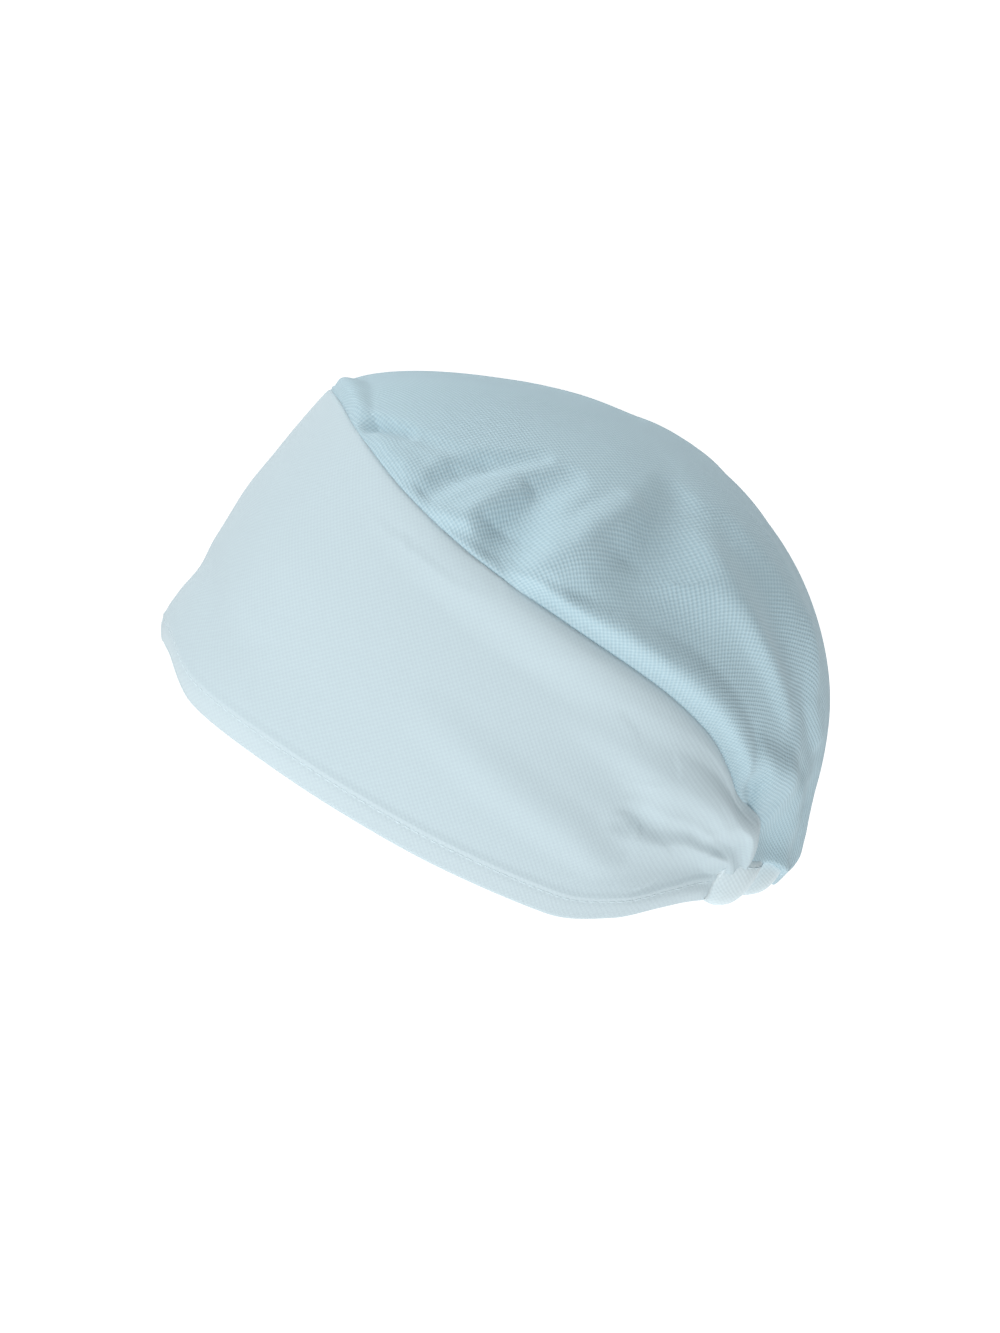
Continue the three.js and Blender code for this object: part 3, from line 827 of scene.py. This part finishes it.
rows = middle.shape[1]
# each column goes from the top down the inner face and back up the outer one
points = np.concatenate([crown_inner[:, ::-1], crown_outer], 1)
tops = np.stack([CROWN_TOP + UP * CLOTH / 2, CROWN_TOP - UP * CLOTH / 2])
total = 2 * rows
faces = list(grid_faces(columns, total, looped=True))
for i in range(columns):
    k = (i + 1) % columns
    faces.append([i * total + total - 1, k * total + total - 1, columns * total])
    faces.append([k * total, i * total, columns * total + 1])
from_top = lengths(middle[:, ::-1], 1)[:, ::-1] + np.linalg.norm(middle[:, -1:] - CROWN_TOP, axis=-1)
angle = np.radians(crown_bearings)[:, None]
flat = np.stack([from_top * np.sin(angle), from_top * -np.cos(angle)], -1)
flat = np.concatenate([flat[:, ::-1], flat], 1).reshape(-1, 2)
crown_flat = np.concatenate([flat, np.zeros((2, 2))]) * MM
# The crown gets darker, bluer colours than the band, most of all in its grooves, though it is the same
# cloth: painted shade.
crown_cloth = pique(
    "polyester cotton pique, crown", base="#BCD4DD", groove_shade="#A2BFCB", depth=0.18, turn=60
)
crown = cloth_object(
    "crown_cloth",
    worn(np.concatenate([points.reshape(-1, 3), tops]), seat),
    faces,
    crown_flat,
    crown_cloth,
)
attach(crown, "root")
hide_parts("crown")


# ---- Nape casing --------------------------------------------------------------------------------
# A tunnel of the band's cloth round a short flat elastic, which draws it up into slanted rolls.
# Its ends are sewn over the band's, and its upper edge to the crown.

CASING_INSIDE = 1.6  # from the middle of the tunnel to its face on the head
CASING_OUTSIDE = 3.5  # and to the outer face, half way up a roll
CASING_ROLL = 2.3  # what a roll's back adds there, and a groove takes away
CASING_THIN = 2.2  # how much less the rolls stand out at the middle of the nape
CASING_CREST = dict(high=3, gone=11)  # the upper edge rises at the ends; degrees past the band
PUCKER_SLANT = 0.4  # lean of the rolls from the middle to an edge, in halves of a roll
ROUND_END = dict(over=1.6, least=0.1, tall=0.8)  # degrees, and shares of the full section
FULLNESS = dict(out=0.55, inside=0.5)  # powers: a low one gives a boxier tunnel
FACE_LENGTH = 0.7  # cloth from the casing's middle to its edge, as a share of its height
ROLL_COLUMNS = 40  # columns of points for one roll
SIDES = 40  # points round the tunnel
casing_bearings = np.linspace(BAND_END - LAP, 360 - BAND_END + LAP, ROLL_COLUMNS * PUCKERS)
turn = np.arange(SIDES) / SIDES * 2 * math.pi
around, angle = np.meshgrid(casing_bearings, turn, indexing="ij")
level = np.sin(angle)
slanted = pucker_phase(around) - level * PUCKER_SLANT * math.pi
past = np.abs(wrapped(around)) - BAND_END
proud = CASING_OUTSIDE + CASING_ROLL * (2 * np.abs(np.cos(slanted / 2)) - 1)
proud = proud - CASING_THIN * smooth(past / (180 - BAND_END))
from_end = np.minimum(around - casing_bearings[0], casing_bearings[-1] - around)
ending = np.sqrt(np.clip(1 - (1 - np.clip(from_end / ROUND_END["over"], 0, 1)) ** 2, 0, 1))
ending = np.maximum(ending, ROUND_END["least"])
bulge = np.abs(np.cos(angle))
outer = proud * bulge ** FULLNESS["out"]
inner = -CASING_INSIDE * bulge ** FULLNESS["inside"]
out = np.where(np.cos(angle) > 0, outer, inner) * ending
level = level * (ROUND_END["tall"] + (1 - ROUND_END["tall"]) * ending)
reach = section(BAND_SECTIONS, "reach", around)
middle = on_loop(around, reach, section(BAND_SECTIONS, "hem", around) + CASING_HEIGHT / 2)
crest = CASING_CREST["high"] * (1 - smooth(past / CASING_CREST["gone"])) * ending
tall = level * CASING_HEIGHT / 2 + crest * np.clip(level, 0, 1)
points = middle + outward(around) * out[..., None] + UP * tall[..., None]
columns = len(casing_bearings)
last = columns - 1
i, k = np.meshgrid(np.arange(last), np.arange(SIDES), indexing="ij")
a = i * SIDES + k
b = a + SIDES
d = i * SIDES + (k + 1) % SIDES
c = d + SIDES
faces = [list(f) for f in np.stack([a, b, c, d], -1).reshape(-1, 4)]
faces += [list(range(SIDES))[::-1], [last * SIDES + k for k in range(SIDES)]]
flat = np.stack([lengths(points, 0)[:, :1] + 0 * angle, level * CASING_HEIGHT * FACE_LENGTH], -1) * MM
# The casing gets paler colours than the band, though it is the band's cloth: painted light.
casing_cloth = pique(
    "polyester cotton pique, casing", base="#D8E7EC", groove_shade="#CFDFE5", depth=0.06, turn=45
)
casing = cloth_object(
    "casing_cloth", worn(points, seat).reshape(-1, 3), faces, flat.reshape(-1, 2), casing_cloth
)
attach(casing, "root")
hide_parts("nape_casing")


# ---- Casing stitches ----------------------------------------------------------------------------
# The row of stitches that closes the casing along its upper edge, in the same polyester thread. It
# runs over the rolls.

CASING_ROW = 0.78  # place of the row, as a share of the half height above the casing's middle
STITCH_LIFT = 0.12  # how far the stitches stand off the cloth
sewn_side = int(round(math.asin(CASING_ROW) / (2 * math.pi) * SIDES))
row_points = points[:, sewn_side] + outward(casing_bearings) * STITCH_LIFT
casing_stitches = stitch_row("casing_stitches", row_points, thread)
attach(casing_stitches, "root")


# ---- Floor --------------------------------------------------------------------------------------
# A wide, plain floor of matt white paper, far enough below the cap that it takes no clear shadow.
# It is only the stage, and no part of the object.

FLOOR_DROP = 1.2  # metres
FLOOR_HALF = 60  # metres
FLOOR_SHINE = dict(seen=0.95, lit=0.72)  # glow that the camera sees, and that falls on the cap
mesh = bpy.data.meshes.new("floor")
corners = [(-1, -1), (1, -1), (1, 1), (-1, 1)]
mesh.from_pydata([(x * FLOOR_HALF, y * FLOOR_HALF, -FLOOR_DROP) for x, y in corners], [], [(0, 1, 2, 3)])
floor = bpy.data.objects.new("floor", mesh)
bpy.context.scene.collection.objects.link(floor)
paper = bpy.data.materials.new("white paper")
paper.use_nodes = True
tree = paper.node_tree
tree.nodes.clear()
ray = add_node(tree, "ShaderNodeLightPath")
# the paper looks plain white, and sends a softer light up under the band
shine = add_node(
    tree,
    "ShaderNodeMapRange",
    values={"To Min": FLOOR_SHINE["lit"], "To Max": FLOOR_SHINE["seen"]},
    links={"Value": ray.outputs["Is Camera Ray"]},
)
shader = add_node(
    tree,
    "ShaderNodeBsdfPrincipled",
    values={"Base Color": srgb("#F4F4F4") + [1], "Roughness": 0.9, "Emission Color": srgb("#FFFFFF") + [1]},
    links={"Emission Strength": shine.outputs[0]},
)
add_node(tree, "ShaderNodeOutputMaterial", links={0: shader.outputs[0]})
mesh.materials.append(paper)


# ---- Camera and lights --------------------------------------------------------------------------
# Seen from the wearer's left, a little from the front and above. Broad soft lights stand at the
# front on both sides, low beside the camera, and high behind the far side.

# Distances are in metres; right and up, from the hem's centre to the aim, are in millimetres.
CAMERA = dict(azimuth=78, elevation=20, distance=3.46, lens=300, right=12.3, up=30.1)


def direction(azimuth, elevation):
    a, e = math.radians(azimuth), math.radians(elevation)
    return Vector((math.sin(a) * math.cos(e), -math.cos(a) * math.cos(e), math.sin(e)))


def look(obj, place, target):
    obj.location = place
    obj.rotation_euler = (target - place).to_track_quat("-Z", "Y").to_euler()


toward = direction(CAMERA["azimuth"], CAMERA["elevation"])
right = Vector((0, 0, 1)).cross(toward).normalized()
above = toward.cross(right)
hem_centre = Vector(worn(np.zeros((1, 3)), seat)[0])
aim = hem_centre + right * CAMERA["right"] * MM + above * CAMERA["up"] * MM
lens = bpy.data.cameras.new("camera")
lens.lens = CAMERA["lens"]
camera = bpy.data.objects.new("camera", lens)
bpy.context.scene.collection.objects.link(camera)
look(camera, aim + toward * CAMERA["distance"], aim)
bpy.context.scene.camera = camera

ROOM_GLOW = 0.18
LIGHTS = [
    dict(name="key", azimuth=30, elevation=25, distance=1.6, size=0.8, power=12.7),
    dict(name="front", azimuth=-40, elevation=50, distance=1.6, size=0.8, power=6.7),
    dict(name="side", azimuth=85, elevation=5, distance=1.6, size=1.0, power=8.4),
    dict(name="far", azimuth=-120, elevation=55, distance=1.6, size=0.8, power=13.2),
]
for row in LIGHTS:
    lamp = bpy.data.lights.new(row["name"], "AREA")
    lamp.size = row["size"]
    lamp.energy = row["power"]
    obj = bpy.data.objects.new(row["name"], lamp)
    bpy.context.scene.collection.objects.link(obj)
    look(obj, aim + direction(row["azimuth"], row["elevation"]) * row["distance"], aim)

world = bpy.data.worlds.new("studio")
bpy.context.scene.world = world
world.use_nodes = True
tree = world.node_tree
tree.nodes.clear()
backdrop = add_node(
    tree, "ShaderNodeBackground", values={"Color": srgb("#FFFFFF") + [1], "Strength": ROOM_GLOW}
)
add_node(tree, "ShaderNodeOutputWorld", links={0: backdrop.outputs[0]})
bpy.context.scene.view_settings.view_transform = "Standard"
